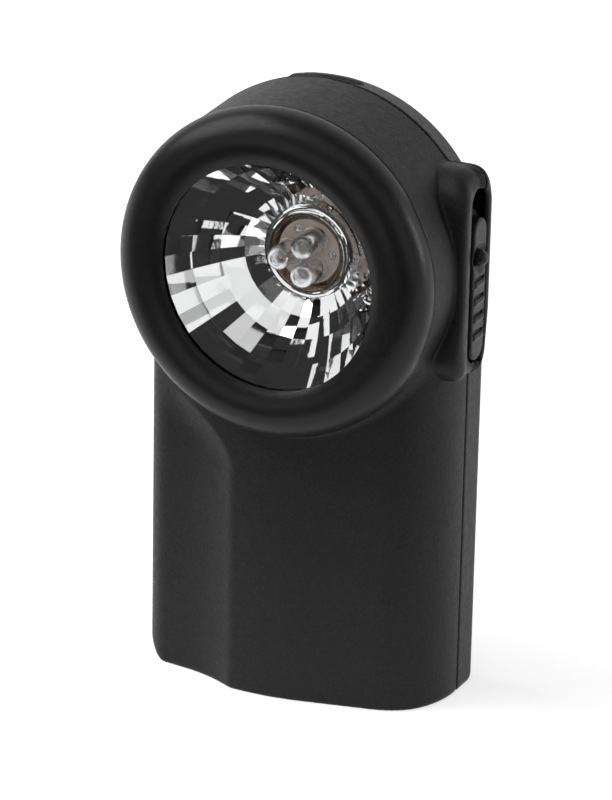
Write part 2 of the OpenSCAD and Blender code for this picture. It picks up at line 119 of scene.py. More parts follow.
# Roundings of the moulded edges
left_round = 4.4
right_round = 14.0
base_edge = 0.9
left_corner = 5.5
right_corner = 1.8
corner_reach = 6.0
crease_round = 0.5
drum_round = 1.0
rim_round = 0.4
seam_ease = 0.1
slot_round = 1.2
boss_blend = 0.5
least_blend = 0.05
drum_blend = 2.2
blend_start = 2.0
blend_full = 14.0
small_round = 0.3
fine_round = 0.2

# Switch slot and the boss round it
plate_over = 1.6
slot_y = (button_low[1] + button_high[1]) / 2
slot_w = 7.2
slot_front = slot_y - slot_w / 2
slot_z0 = slider_low[2] + plate_over - gap
slot_z1 = slot_z0 + 38.2
slot_floor = body_r - 1.0
room_y = slot_y - 0.45
room_w = slot_w + 2.8
room_over = plate_over + gap
boss_root = body_r - 12.0
boss_bottom = slot_z0 - 3.2
boss_top = slot_z1 + 4.6
boss_back = slot_y + slot_w / 2 + 2.8
boss_front = slot_front - 5.6
foot_corner = 6.0
top_front_corner = 8.0
top_back_corner = 5.5
front_round = 1.6
top_round = 4.4
top_round_start = boss_top - 9.0
top_round_full = boss_top - 2.0
foot_round = 3.4
foot_round_start = boss_bottom + 15.0
foot_round_full = boss_bottom + 4.0
foot_flare = 1.6
flare_start = boss_bottom + 19.0
flare_full = boss_bottom + 6.0
rim_dip = 0.9
dip_start = boss_front + 1.5
rim_turn = 1.0
back_fall = 0.6

# Sliding knob and its button
keeper_x1 = boss_x - 2.05
plate_face = keeper_x1 - 0.8
slide_face = boss_x - 0.5
knob_w = slot_w - 2.4 * gap
knob_round = 0.8
button_z = (button_low[2] + button_high[2]) / 2
button_r = 1.8
dish_r = 5.0
dish_out = 3.7
rib_count = 4
rib_pitch = 3.9
rib_first = 5.8
rib_r = 0.72
rib_half = 1.9
rib_sink = 0.3
groove_r = 0.5
groove_low = 0.7
groove_high = 1.0
groove_end = 1.2

# Fingernail notch and catch at the top
notch_x = -1.2
notch_half = 8.6
notch_w = 1.8
notch_d = 1.4
pry_lip_back = cover_front + 4.0
tab_half = 4.0
tab_reach = 3.0
tab_top = head_z + drum_in_r - 1.5
tab_bottom = tab_top - 1.1

# Seam lip, and the stretches where it is left out
lip_t = 1.1
lip_front = seam_y - 1.0
lip_back = seam_y + 1.4
lip_root_front = seam_y - 2.2
lip_root_back = seam_y - 0.4
hinge_clear = 7.0
catch_clear = 6.0
boss_clear = 2.0

# Cover hinge at the base
hinge_r = 1.9
hinge_y = cover_front + hinge_r
hinge_z = hinge_r
hinge_inset = 4.0
pin_r = 1.0
pin_over = 1.0
ear_x = 22.0
ear_half = 1.5
ear_ease = 0.2
ear_root = 4.0
ear_head_room = 1.0


# Fields: negative inside the plastic, in millimetres

def smooth_max(a, b, k):
    """Larger of two fields, rounded over where they are less than k apart."""
    overlap = np.maximum(k - np.abs(a - b), 0)
    return np.maximum(a, b) + overlap * overlap / (4 * k)


def smooth_min(a, b, k):
    """Smaller of two fields, filled in where they are less than k apart."""
    return -smooth_max(-a, -b, k)


def round_min(a, b, r):
    """Smaller of two fields, with a round fillet of radius r in the corner between them."""
    corner = np.hypot(np.maximum(r - a, 0), np.maximum(r - b, 0))
    return np.maximum(np.minimum(a, b), r) - corner


def corner_max(a, b, r):
    """Larger of two fields, with a round edge of radius r where they meet."""
    edge = np.hypot(np.maximum(a + r, 0), np.maximum(b + r, 0))
    return np.minimum(np.maximum(a, b), -r) + edge


def ramp(value, start, end):
    """Smooth step from 0 at start to 1 at end."""
    t = np.clip((value - start) / (end - start), 0, 1)
    return t * t * (3 - 2 * t)


def span(value, low, high):
    """Distance outside a stretch of one axis."""
    return np.abs(value - (low + high) / 2) - (high - low) / 2


def block(x, y, z, low, high):
    """Distance outside an upright block between two corners."""
    sides = [span(v, a, b) for v, a, b in zip((x, y, z), low, high)]
    return np.maximum(np.maximum(sides[0], sides[1]), sides[2])


def pill(y, z, mid, width, bottom, top):
    """Distance outside an upright pill seen from the side."""
    half = width / 2
    return np.hypot(y - mid, z - np.clip(z, bottom + half, top - half)) - half


def head_radius(x, z):
    """Distance from the head's axis."""
    return np.hypot(x, z - head_z)


def hinge_radius(y, z):
    """Distance from the cover hinge's axis."""
    return np.hypot(y - hinge_y, z - hinge_z)


def base_round(x):
    """Rounding along the base: small in the middle, growing towards the two corners."""
    left = (left_corner - base_edge) * ramp(x, corner_reach - body_r, -body_r)
    right = (right_corner - base_edge) * ramp(x, body_r - corner_reach, body_r)
    return base_edge + left + right


def case_outline(x, z):
    """Distance outside the case's front view: a round head on straight sides and rounded corners."""
    low = smooth_max(np.abs(x) - body_r, -z, base_round(x))
    return np.where(z > head_z, head_radius(x, z) - body_r, low)


def drum_field(x, y, z):
    """Distance outside the head's drum, which is widest at the seam."""
    ahead = np.maximum(seam_y - y, 0) / (seam_y - drum_front)
    behind = np.maximum(y - cover_front, 0) / (back_y - back_fillet - cover_front)
    return head_radius(x, z) - drum_r + drum_draft * (ahead + behind)


def panel_field(x, y):
    """Front panel: an arc at its crest, straight from there to the right."""
    across = x - crest_x
    along = y - crest_y - panel_r
    sine = math.sin(panel_turn)
    cosine = math.cos(panel_turn)
    straight = across * sine - along * cosine - panel_r
    round_part = np.hypot(across, along) - panel_r
    return np.where(across * cosine + along * sine > 0, straight, round_part)


def scoop_field(x, y, z):
    """Hollow on the left. Its section follows the crease, which turns out along the head."""
    to_head = head_pull * (head_radius(x, z) - bezel_r)
    away = round_min(crease_x - x, to_head, flare_r)
    steepest = math.sin(scoop_start)
    flattest = math.sin(scoop_end)
    lean = np.clip(steepest - away / scoop_r, flattest, steepest)
    slope = np.sqrt(1 - lean * lean)
    reach = scoop_r * (steepest - flattest)
    depth = scoop_r * (slope - math.cos(scoop_start))
    depth = depth + np.minimum(away, 0) * math.tan(scoop_start)
    depth = depth + np.maximum(away - reach, 0) * math.tan(scoop_end)
    return (crease_y + depth - y) * slope


def front_field(x, y, z):
    """Panel and scoop, meeting in the crease."""
    return smooth_max(panel_field(x, y), scoop_field(x, y, z), crease_round)


def boss_field(x, y, z):
    """Switch boss: a rounded block whose face falls from a ridge at its front towards the slot."""
    front = boss_front - foot_flare * ramp(z, flare_start, flare_full)
    ahead = front - y
    behind = y - boss_back
    below = boss_bottom - z
    above = z - boss_top
    foot = np.maximum(corner_max(ahead, below, foot_corner), corner_max(behind, below, foot_corner))
    top = np.maximum(corner_max(ahead, above, top_front_corner), corner_max(behind, above, top_back_corner))
    edge = front_round + (top_round - front_round) * ramp(z, top_round_start, top_round_full)
    edge = edge + (foot_round - front_round) * ramp(z, foot_round_start, foot_round_full)
    dip = rim_dip * ramp(y, dip_start, slot_front) * ramp(slot_y - y, -rim_turn, rim_turn)
    fall = back_fall * ramp(y, slot_y + rim_turn, boss_back)
    face = x - boss_x + dip + fall
    return np.maximum(smooth_max(np.maximum(foot, top), face, edge), boss_root - x)


def body_field(x, y, z):
    """Body behind the panel and the scoop, rounded at its sides and its base."""
    side_round = left_round + (right_round - left_round) * ramp(x, -body_r, body_r)
    upright = smooth_max(front_field(x, y, z), np.abs(x) - body_r, side_round)
    return smooth_max(upright, -z, base_round(x))


def case_field(x, y, z):
    """Outside of the front half: body, head drum and switch boss, run together."""
    body = np.maximum(body_field(x, y, z), z - head_z)
    drum = corner_max(drum_field(x, y, z), drum_front - y, drum_round)
    blend = least_blend + drum_blend * ramp(head_z - z, blend_start, blend_full)
    return smooth_min(smooth_min(body, drum, blend), boss_field(x, y, z), boss_blend)


def cut_switch(shell, x, y, z):
    """Cuts the slot, with a soft rim, and the room behind it for the sliding knob."""
    slot = np.maximum(pill(y, z, slot_y, slot_w, slot_z0, slot_z1), slot_floor - x)
    room = pill(y, z, room_y, room_w, slot_z0 - room_over, slot_z1 + room_over)
    shell = smooth_max(shell, -slot, slot_round)
    return np.maximum(shell, -np.maximum(room, span(x, boss_root, keeper_x1 + gap)))


def head_rings(x, y, z):
    """Web in the head and the neck that the bezel turns on."""
    radius = head_radius(x, z)
    web = np.maximum(span(radius, neck_in_r, drum_in_r + sink), span(y, web_front, web_back))
    neck = np.maximum(span(radius, neck_in_r, neck_r), span(y, neck_front, web_back))
    return np.minimum(web, neck)


def carrier_posts(x, y, z):
    """Two posts under the ends of the light unit's bridge."""
    posts = np.inf
    for angle in post_angles:
        turn = math.radians(angle)
        aside = np.hypot(x - post_reach * math.cos(turn), z - head_z - post_reach * math.sin(turn))
        posts = np.minimum(posts, np.maximum(aside - post_r, span(y, post_front, post_back)))
    return posts


def hinge_ears(x, y, z):
    """Two ears at the base with the bores for the cover's pins."""
    along = span(np.abs(x), ear_x - ear_half, ear_x + ear_half)
    round_end = hinge_radius(y, z) - hinge_r + ear_ease
    root = np.maximum(span(y, seam_y - ear_root, hinge_y), span(z, ear_ease, 2 * hinge_r - ear_ease))
    bore = hinge_radius(y, z) - pin_r - play
    return np.maximum(np.maximum(along, np.minimum(round_end, root)), -bore)


def seam_lip(x, y, z):
    """Lip that centres the cover, left out at the hinge, the catch and the switch."""
    inset = -case_outline(x, z) - wall
    lip = np.maximum(span(inset, gap, gap + lip_t), span(y, lip_front, lip_back))
    root = np.maximum(span(inset, -sink, gap + lip_t), span(y, lip_root_front, lip_root_back))
    hinge_break = hinge_clear - z
    catch_break = np.minimum(catch_clear - np.abs(x), z - head_z)
    switch_break = np.minimum(x, -span(z, boss_bottom - boss_clear, boss_top + boss_clear))
    breaks = np.maximum(np.maximum(hinge_break, catch_break), switch_break)
    return np.maximum(np.minimum(lip, root), breaks)


def front_case(x, y, z):
    """Front shell: the outside, hollowed and cut, with what is moulded to it inside."""
    radius = head_radius(x, z)
    inside = np.maximum(body_field(x, y, z), case_outline(x, z)) + wall
    room = np.maximum(inside, -np.maximum(radius - body_r, y - web_back))
    bore = np.maximum(radius - drum_in_r, y - web_back)
    pocket = np.maximum(radius - bezel_r - gap, y - drum_front)
    hollow = np.minimum(np.minimum(room, bore), pocket)
    shell = np.maximum(case_field(x, y, z), -hollow)
    shell = cut_switch(shell, x, y, z)
    shell = smooth_max(shell, y - seam_y + seam_ease, rim_round)
    fittings = np.minimum(head_rings(x, y, z), carrier_posts(x, y, z))
    fittings = np.minimum(fittings, np.minimum(hinge_ears(x, y, z), seam_lip(x, y, z)))
    return np.minimum(shell, fittings)


def cover_skin(x, y, z, inset):
    """Cover's body, or the same form moved in for its room."""
    return corner_max(case_outline(x, z) + inset, y - back_y + inset, back_fillet - inset)


def pry_lip(x, y, z):
    """Raised lip behind the fingernail notch at the top."""
    lip_set = 0.1
    lip_round = 0.5
    end_round = 0.8
    radius = head_radius(x, z)
    side = span(x, notch_x - notch_half, notch_x + notch_half)
    lip = smooth_max(radius - drum_r + lip_set, span(y, cover_front + notch_w, pry_lip_back), lip_round)
    return smooth_max(np.maximum(lip, drum_in_r - radius), np.maximum(side, head_z - z), end_round)


def pry_notch(x, y, z):
    """Fingernail notch in the cover's front edge, with slanting ends and a slanting floor."""
    end_set = 0.4
    slant = np.abs(x - notch_x) - notch_half + end_set + (y - cover_front)
    depth = notch_d * (1 - (y - cover_front) / notch_w)
    floor = drum_r - depth - head_radius(x, z)
    return np.maximum(np.maximum(slant, floor), head_z - z)


def catch_tab(x, y, z):
    """Tab of the cover that reaches under the top of the front shell."""
    root_front = cover_front + tab_reach / 2
    root_top = head_z + drum_in_r + sink
    end = cover_front + tab_reach
    tongue = block(x, y, z, (-tab_half, seam_y - tab_reach, tab_bottom), (tab_half, end, tab_top))
    root = block(x, y, z, (-tab_half, root_front, tab_bottom), (tab_half, end, root_top))
    return np.minimum(tongue, root)


def cut_hinge(shell, x, y, z):
    """Adds the hinge's barrel along the cover's foot and clears the way for its turn and for the ears."""
    pivot = hinge_radius(y, z)
    barrel = np.maximum(pivot - hinge_r, np.abs(x) - body_r + hinge_inset)
    front_corner = np.maximum(np.maximum(y - hinge_y, z - hinge_z), hinge_r - pivot)
    shell = np.maximum(np.minimum(shell, barrel), -front_corner)
    beside_ear = span(np.abs(x), ear_x - ear_half - gap, ear_x + ear_half + gap)
    behind_ear = y - hinge_y - hinge_r - play
    over_ear = z - 2 * hinge_r - ear_head_room
    return np.maximum(shell, -np.maximum(beside_ear, np.maximum(behind_ear, over_ear)))


def rear_case(x, y, z):
    """Cover: the back and its walls, with the boss's back half, the notch, the hinge and the catch."""
    head = corner_max(drum_field(x, y, z), y - back_y, back_fillet)
    outside = np.minimum(np.maximum(cover_skin(x, y, z, 0), z - head_z), head)
    shell = np.maximum(outside, -cover_skin(x, y, z, wall))
    boss = np.maximum(boss_field(x, y, z), -case_outline(x, z) - wall)
    shell = smooth_min(shell, boss, boss_blend)
    shell = np.minimum(shell, pry_lip(x, y, z))
    shell = smooth_max(shell, cover_front - y + seam_ease, rim_round)
    shell = cut_hinge(shell, x, y, z)
    shell = cut_switch(shell, x, y, z)
    shell = smooth_max(shell, -pry_notch(x, y, z), small_round)
    pin_span = span(np.abs(x), ear_x - ear_half - pin_over, ear_x + ear_half + pin_over)
    pins = np.maximum(hinge_radius(y, z) - pin_r, pin_span)
    return np.minimum(shell, np.minimum(pins, catch_tab(x, y, z)))


def with_rib(knob, x, y, z, rib_z):
    """Knob with a groove and, under it, a grip rib with round ends."""
    over_rib = np.maximum(span(z, rib_z + groove_low, rib_z + groove_high), 0)
    groove = groove_r - np.hypot(x - slide_face, over_rib)
    groove = np.minimum(groove, slot_w / 2 - groove_end - np.abs(y - slot_y))
    knob = smooth_max(knob, groove, small_round)
    end = np.clip(y - slot_y, -rib_half, rib_half)
    rib = np.sqrt((x - slide_face + rib_sink) ** 2 + (y - slot_y - end) ** 2 + (z - rib_z) ** 2) - rib_r
    return smooth_min(knob, rib, fine_round)


def slider_field(x, y, z):
    """Sliding knob: a plate under the boss, the knob itself, its thumb dish and its ribs."""
    plate_mid = (slider_low[1] + slider_high[1]) / 2
    plate_w = slider_high[1] - slider_low[1]
    plate = pill(y, z, plate_mid, plate_w, slider_low[2], slider_high[2])
    plate = np.maximum(plate, span(x, slider_low[0], plate_face))
    side = pill(y, z, slot_y, knob_w, slot_z0 + gap, slider_high[2] - plate_over)
    knob = np.maximum(smooth_max(side, x - slide_face, knob_round), slider_low[0] - x)
    knob = smooth_min(plate, knob, small_round)
    from_dish = np.sqrt((x - slide_face - dish_out) ** 2 + (y - slot_y) ** 2 + (z - button_z) ** 2)
    knob = smooth_max(knob, dish_r - from_dish, small_round)
    for i in range(rib_count):
        knob = with_rib(knob, x, y, z, button_z - rib_first - i * rib_pitch)
    bore = np.hypot(y - slot_y, z - button_z) - button_r - play
    return smooth_max(knob, -bore, fine_round)


# Mesh making

def sculpt(field, low, high, step):
    """Closed quad mesh of a field's zero surface: points, quads and the slopes at the points."""
    low = np.array(low, float)
    counts = np.ceil((np.array(high) - low) / step).astype(int) + 1
    axes = [low[i] + step * np.arange(counts[i]) for i in range(3)]
    inside = np.broadcast_to(field(*np.meshgrid(*axes, indexing="ij", sparse=True)) < 0, counts)
    cell_corners = itertools.product((slice(0, -1), slice(1, None)), repeat=3)
    filled = sum(inside[corner].astype(int) for corner in cell_corners)
    crossed = (filled > 0) & (filled < 8)
    number = np.full(crossed.shape, -1)
    number[crossed] = np.arange(crossed.sum())
    points = low + step * (np.argwhere(crossed) + 0.5)
    quads = []
    for axis in range(3):
        side, over = [a for a in range(3) if a != axis]
        first = np.moveaxis(inside, (axis, side, over), (0, 1, 2))
        cells = np.moveaxis(number, (axis, side, over), (0, 1, 2))
        change = first[1:, 1:-1, 1:-1] != first[:-1, 1:-1, 1:-1]
        leaving = first[:-1, 1:-1, 1:-1][change]
        at = np.argwhere(change)
        around = [cells[at[:, 0], at[:, 1] + i, at[:, 2] + j] for i, j in ((0, 0), (1, 0), (1, 1), (0, 1))]
        quad = np.stack(around, axis=1)
        flip = leaving if axis == 1 else ~leaving
        quad[flip] = quad[flip][:, ::-1]
        quads.append(quad)
    quads = np.concatenate(quads)
    points = settle(field, points, quads, step)
    return points, quads, gradient(field, points)


def gradient(field, points, reach=0.02):
    """Slope of a field along the three axes."""
    x, y, z = points.T
    return np.stack([
        field(x + reach, y, z) - field(x - reach, y, z),
        field(x, y + reach, z) - field(x, y - reach, z),
        field(x, y, z + reach) - field(x, y, z - reach)], axis=1) / (2 * reach)


def settle(field, points, quads, step):
    """Moves the points onto the surface, evening out their spacing on the way."""
    evening = (0.5, 0.5, 0.3, 0, 0)
    least_size = 0.2
    count = len(points)
    edges = np.concatenate([quads[:, [i, (i + 1) % 4]] for i in range(4)])
    start, end = edges.T
    share = np.bincount(edges.ravel(), minlength=count)
    for even in evening:
        slope = gradient(field, points)
        size = np.maximum((slope * slope).sum(axis=1), least_size)
        shift = (field(*points.T) / size)[:, None] * slope
        points = points - np.clip(shift, -step, step)
        if even:
            total = np.stack([
                np.bincount(start, points[end, i], count) + np.bincount(end, points[start, i], count)
                for i in range(3)], axis=1)
            points = points + even * (total / share[:, None] - points)
    return points


def lathe(profile, segments, closed=False):
    """Points and quads of a profile (radius, y) turned about the head's axis."""
    count = len(profile)
    angles = 2 * math.pi * np.arange(segments) / segments
    profile = np.array(profile, float)
    points = np.stack([
        np.outer(np.cos(angles), profile[:, 0]),
        np.broadcast_to(profile[:, 1], (segments, count)),
        head_z + np.outer(np.sin(angles), profile[:, 0])], axis=2).reshape(-1, 3)
    quads = []
    for s in range(segments):
        t = (s + 1) % segments
        for i in range(count if closed else count - 1):
            j = (i + 1) % count
            quads.append((s * count + i, s * count + j, t * count + j, t * count + i))
    return points, quads


def arc(centre, radius, start, end, steps):
    """Points along an arc in the (radius, y) plane, angles in degrees."""
    turns = np.radians(np.linspace(start, end, steps + 1))
    return [(centre[0] + radius * math.cos(t), centre[1] + radius * math.sin(t)) for t in turns]


def piece(name, points, faces, material, body, node=None, smooth=True, slopes=None):
    """Adds a mesh that rides on a body and, where a node is named, stands for it."""
    mesh = bpy.data.meshes.new(name)
    mesh.from_pydata((np.array(points) * MM).tolist(), [], [tuple(int(i) for i in f) for f in faces])
    mesh.materials.append(material)
    mesh.polygons.foreach_set("use_smooth", [smooth] * len(mesh.polygons))
    if slopes is not None:
        length = np.linalg.norm(slopes, axis=1, keepdims=True)
        mesh.normals_split_custom_set_from_vertices((slopes / np.maximum(length, 1e-9)).tolist())
    mesh.update()
    made = bpy.data.objects.new(name, mesh)
    scene.collection.objects.link(made)
    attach(made, body)
    if node:
        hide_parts(node)
    return made


def keep_edges(made, angle):
    """Leaves the edges of a piece crisp where its faces turn by more than an angle in degrees."""
    made.data.set_sharp_from_angle(angle=math.radians(angle))


# Materials

class Shader:
    """A Principled material with helpers for procedural detail in object space."""

    def __init__(self, name, colour, roughness, **values):
        self.material = bpy.data.materials.new(name)
        self.material.use_nodes = True
        self.tree = self.material.node_tree
        self.bsdf = self.tree.nodes["Principled BSDF"]
        self.bsdf.inputs["Base Color"].default_value = (*colour, 1)
        self.bsdf.inputs["Roughness"].default_value = roughness
        for key, value in values.items():
            self.bsdf.inputs[key.replace("_", " ")].default_value = value
        self.place = self.tree.nodes.new("ShaderNodeTexCoord").outputs["Object"]

    def noise(self, size, detail=2.0):
        """Noise whose blotches are about size millimetres across."""
        node = self.tree.nodes.new("ShaderNodeTexNoise")
        node.inputs["Scale"].default_value = 1 / (size * MM)
        node.inputs["Detail"].default_value = detail
        self.tree.links.new(self.place, node.inputs["Vector"])
        return node.outputs["Fac"]

    def spread(self, value, low, high, start=0.3, end=0.7):
        """Value mapped onto the range from low to high."""
        node = self.tree.nodes.new("ShaderNodeMapRange")
        node.inputs["From Min"].default_value = start
        node.inputs["From Max"].default_value = end
        node.inputs["To Min"].default_value = low
        node.inputs["To Max"].default_value = high
        self.tree.links.new(value, node.inputs["Value"])
        return node.outputs["Result"]

    def tint(self, value, low, high, start=0.3, end=0.7):
        """Base colour between two colours."""
        node = self.tree.nodes.new("ShaderNodeValToRGB")
        node.color_ramp.elements[0].position = start
        node.color_ramp.elements[0].color = (*low, 1)
        node.color_ramp.elements[1].position = end
        node.color_ramp.elements[1].color = (*high, 1)
        self.tree.links.new(value, node.inputs["Fac"])
        self.tree.links.new(node.outputs["Color"], self.bsdf.inputs["Base Color"])

    def rough(self, value, low, high):
        """Roughness between two values."""
        self.tree.links.new(self.spread(value, low, high), self.bsdf.inputs["Roughness"])

    def bump(self, value, height):
        """Bump of a height in millimetres."""
        node = self.tree.nodes.new("ShaderNodeBump")
        node.inputs["Strength"].default_value = 1.0
        node.inputs["Distance"].default_value = height * MM
        self.tree.links.new(value, node.inputs["Height"])
        self.tree.links.new(node.outputs["Normal"], self.bsdf.inputs["Normal"])


def grained_plastic(name, dark, light, roughness, grain, height):
    """Moulded plastic with a fine eroded grain."""
    look = Shader(name, dark, roughness, Specular_IOR_Level=0.2)
    look.tint(look.noise(grain * 1.6, 4.0), dark, light)
    look.rough(look.noise(grain * 3), roughness - 0.05, roughness + 0.06)
    look.bump(look.noise(grain, 3.0), height)
    return look.material


def chrome():
    """Bright mirror coat with faint waves."""
    look = Shader("mirror_coat", (0.97, 0.97, 0.97), 0.03, Metallic=1.0)
    look.tint(look.noise(6.0), (0.95, 0.95, 0.955), (0.98, 0.98, 0.98))
    look.rough(look.noise(2.0), 0.01, 0.03)
    look.bump(look.noise(1.6), 0.004)
    return look.material


def clear_plastic(name, colour, ior, roughness, ripple):
    """Clear plastic that lets the light of the lamps through to what lies behind it."""
    look = Shader(name, colour, roughness, Transmission_Weight=1.0, IOR=ior)
    look.rough(look.noise(5.0), roughness / 2, roughness * 2)
    look.bump(look.noise(7.0), ripple)
    open_way = look.tree.nodes.new("ShaderNodeBsdfTransparent")
    open_way.inputs["Color"].default_value = (*colour, 1)
    paths = look.tree.nodes.new("ShaderNodeLightPath")
    mix = look.tree.nodes.new("ShaderNodeMixShader")
    look.tree.links.new(paths.outputs["Is Shadow Ray"], mix.inputs["Fac"])
    look.tree.links.new(look.bsdf.outputs["BSDF"], mix.inputs[1])
    look.tree.links.new(open_way.outputs["BSDF"], mix.inputs[2])
    look.tree.links.new(mix.outputs["Shader"], look.tree.nodes["Material Output"].inputs["Surface"])
    return look.material


def metal(name, dark, light, roughness):
    """Bare metal with small dull patches."""
    look = Shader(name, dark, roughness, Metallic=1.0)
    look.tint(look.noise(1.5), dark, light)
    look.rough(look.noise(0.8), roughness - 0.06, roughness + 0.08)
    look.bump(look.noise(0.5), 0.01)
    return look.material


def plain(name, dark, light, roughness, size):
    """Smooth material with soft blotches of a size."""
    look = Shader(name, dark, roughness)
    look.tint(look.noise(size), dark, light)
    look.rough(look.noise(size / 2), roughness - 0.06, roughness + 0.06)
    look.bump(look.noise(size / 6), 0.01)
    return look.material


def battery_paper():
    """Printed paper sleeve with two plain bands."""
    blue = (0.05, 0.09, 0.22)
    tan = (0.62, 0.55, 0.4)
    band_z = 50.0
    band_edge = 0.1
    look = Shader("battery_paper", blue, 0.5)
    split = look.tree.nodes.new("ShaderNodeSeparateXYZ")
    look.tree.links.new(look.place, split.inputs[0])
    look.tint(split.outputs["Z"], blue, tan, band_z * MM, (band_z + band_edge) * MM)
    look.rough(look.noise(4.0), 0.42, 0.55)
    look.bump(look.noise(0.6), 0.02)
    return look.material


shell_black = grained_plastic(
    "shell_black", (0.0095, 0.0095, 0.0098), (0.0175, 0.0173, 0.0177),
    roughness=0.46, grain=0.45, height=0.08)
bezel_black = grained_plastic(
    "bezel_black", (0.011, 0.011, 0.0112), (0.014, 0.014, 0.0143),
    roughness=0.34, grain=0.4, height=0.02)
slider_black = grained_plastic(
    "slider_black", (0.013, 0.013, 0.0132), (0.016, 0.016, 0.0163),
    roughness=0.36, grain=0.35, height=0.015)
carrier_grey = grained_plastic(
    "carrier_grey", (0.03, 0.03, 0.032), (0.045, 0.045, 0.047),
    roughness=0.5, grain=0.4, height=0.02)
mirror_coat = chrome()
clear_lens = clear_plastic("clear_lens", (0.995, 0.998, 0.998), ior=1.49, roughness=0.02, ripple=0.002)
clear_epoxy = clear_plastic("clear_epoxy", (0.86, 0.87, 0.89), ior=1.53, roughness=0.2, ripple=0.01)
steel = metal("steel", (0.55, 0.55, 0.56), (0.68, 0.68, 0.69), roughness=0.25)
brass = metal("contact_brass", (0.62, 0.45, 0.2), (0.78, 0.6, 0.3), roughness=0.3)
# Board tan, paler than the board's own tone: painted light standing in for the light that barely reaches
# the board in the neck.
board_tan_painted_light = plain("board_tan_painted_light", (0.74, 0.62, 0.54), (0.84, 0.73, 0.65), roughness=0.35, size=2.0)
# Dark brown metal for the ring round the board: painted shade and a painted reflection of the board, where
# the neck round the board lies in shade.
painted_shade_ring_brown = metal("painted_shade_ring_brown", (0.16, 0.115, 0.08), (0.26, 0.19, 0.13), roughness=0.22)
phosphor = plain("phosphor", (0.75, 0.62, 0.18), (0.85, 0.75, 0.3), roughness=0.5, size=0.6)
resistor_black = plain(
    "resistor_black", (0.015, 0.015, 0.016), (0.03, 0.03, 0.031), roughness=0.4, size=0.8)
paper = battery_paper()

# Pieces inside, which keep the frame's solids
node_looks = (
    (carrier_grey, ("led_carrier",)),
    (steel, ("carrier_screws", "led_leads")),
    (resistor_black, ("led_resistors", "battery_cap")),
    (brass, ("contact_plus", "contact_minus", "switch_blade", "strip_rivets", "slider_contact")),
    (brass, ("battery_short_tab", "battery_long_tab")),
    (paper, ("battery_sleeve",)),
)
for material, nodes in node_looks:
    for node in nodes:
        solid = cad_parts[node].data
        solid.materials.clear()
        solid.materials.append(material)


# Case halves

def add_case():
    """Front shell and rear cover, each meshed a little way past the seam."""
    margin = 1.5
    step = 0.6
    past_seam = 4.0
    low = np.array([-drum_r, crest_y, 0]) - margin
    high = np.array([boss_x, back_y, head_z + drum_r]) + margin
    front_high = (high[0], seam_y + past_seam + margin, high[2])
    points, quads, slopes = sculpt(front_case, low, front_high, step)
    piece("front_case", points, quads, shell_black, "case", "front_shell", slopes=slopes)
    rear_low = (low[0], seam_y - past_seam, low[2])
    points, quads, slopes = sculpt(rear_case, rear_low, high, step)
    piece("rear_case", points, quads, shell_black, "cover", "rear_cover", slopes=slopes)


# Head

def add_bezel():
    """Round ring with a skirt that runs on the head's neck."""
    tube = 7.0
    mid = (bezel_r - tube, bezel_front + tube)
    back = drum_front - gap
    seat = lens_front - gap
    start = math.degrees(math.asin((back - mid[1]) / tube))
    end = -math.degrees(math.acos((opening_r - mid[0]) / tube))
    bore = neck_r + play
    skirt = drum_in_r - gap
    draft = 0.2
    profile = arc(mid, tube, start, end, steps=40)
    profile += [(opening_r + draft, seat), (bore, seat)]
    profile += [(bore, bezel_back), (skirt, bezel_back), (skirt, back)]
    points, quads = lathe(profile, segments=180, closed=True)
    made = piece("bezel", points, quads, bezel_black, "bezel", "bezel_ring")
    keep_edges(made, 35)


def bevelled_disc(radius, front, back, bevel):
    """Profile of a disc with bevelled rims."""
    return [(0, front), (radius - bevel, front), (radius, front + bevel),
            (radius, back - bevel), (radius - bevel, back), (0, back)]


def add_lens():
    """Clear flat disc."""
    points, quads = lathe(bevelled_disc(lens_r, lens_front, lens_back, bevel=0.25), segments=120)
    made = piece("lens_disc", points, quads, clear_lens, "case", "lens")
    keep_edges(made, 30)


def add_reflector():
    """Bowl of flat mirror facets in rings, with a stepped neck round the light unit."""
    sectors = 36
    depth = 20.1
    skin = 1.3
    collar_r = 10.1
    throat_r = 8.6
    rim_r = opening_r + 0.4
    focal = rim_r ** 2 / (4 * depth)
    rings = [(r, lens_back + depth - r * r / (4 * focal)) for r in (rim_r, 21.6, 17.4, 13.6, collar_r)]
    bright = [(bowl_r, lens_back)] + rings
    points, quads = lathe(bright, sectors)
    piece("reflector_facets", points, quads, mirror_coat, "case", "reflector", smooth=False)
    collar_y = rings[-1][1]
    lip_y = collar_y - 0.5
    shoulder_y = collar_y + 1.6
    collar = [(collar_r, collar_y), (collar_r - 0.15, collar_y + 0.35), (collar_r - 0.55, collar_y + 0.45)]
    lip = [(throat_r + 0.6, lip_y + 0.25), (throat_r + 0.4, lip_y), (throat_r + 0.15, lip_y + 0.1)]
    throat = [(throat_r, lip_y + 0.4), (throat_r, bowl_back), (throat_r + skin, bowl_back)]
    shoulder = [(throat_r + skin, shoulder_y), (collar_r + skin, shoulder_y)]
    outside = [(r + skin, y) for r, y in reversed(rings[1:-1])]
    rim = [(bowl_r, lens_back + 1.5), (bowl_r, lens_back)]
    points, quads = lathe(collar + lip + throat + shoulder + outside + rim, segments=120)
    made = piece("reflector_back", points, quads, mirror_coat, "case", None)
    keep_edges(made, 30)


